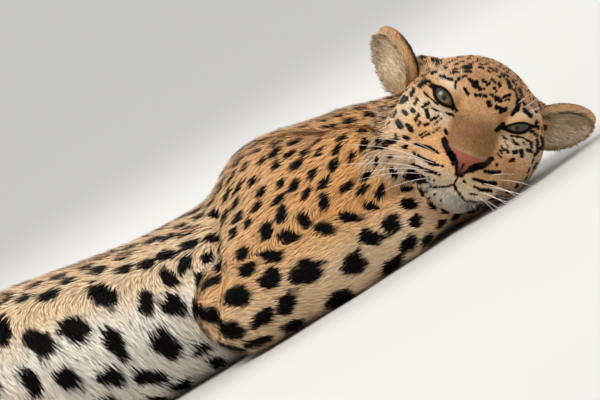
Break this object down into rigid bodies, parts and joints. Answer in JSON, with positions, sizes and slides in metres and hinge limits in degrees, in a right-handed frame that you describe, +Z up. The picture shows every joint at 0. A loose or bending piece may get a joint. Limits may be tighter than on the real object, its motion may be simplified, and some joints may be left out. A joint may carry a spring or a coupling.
{
  "type": "still leopard figure",
  "caption": "Life-size still figure of a leopard lying at full length, head turned and resting on one cheek, for display and for filling a scene.",
  "frame": {"origin": "on the floor under the breast, on the flat that the breast rests on", "axes": "+X towards the head, +Y towards the animal's left side, +Z up"},
  "size_m": [1.342, 0.5199, 0.2092],
  "materials": {
    "coat": "short orange-tan fur with black spots and rosettes",
    "belly": "longer cream fur with large black spots",
    "eye": "wet, brown-olive iris and small round pupil"
  },
  "bodies": {
    "root": {"head": "coat", "ear_right": "coat", "ear_left": "coat", "eye_right": "eye", "eye_left": "eye", "neck": "coat", "chest": "coat", "abdomen": "belly", "pelvis": "coat", "upper_arm_right": "coat", "upper_arm_left": "coat", "forearm_right": "coat", "forearm_left": "coat", "forepaw_right": "coat", "forepaw_left": "coat", "thigh_right": "coat", "thigh_left": "coat", "shank_right": "coat", "shank_left": "coat", "hind_foot_right": "coat", "hind_foot_left": "coat", "tail_root": "coat", "tail_middle": "coat", "tail_tip": "coat"}
  },
  "joints": []
}
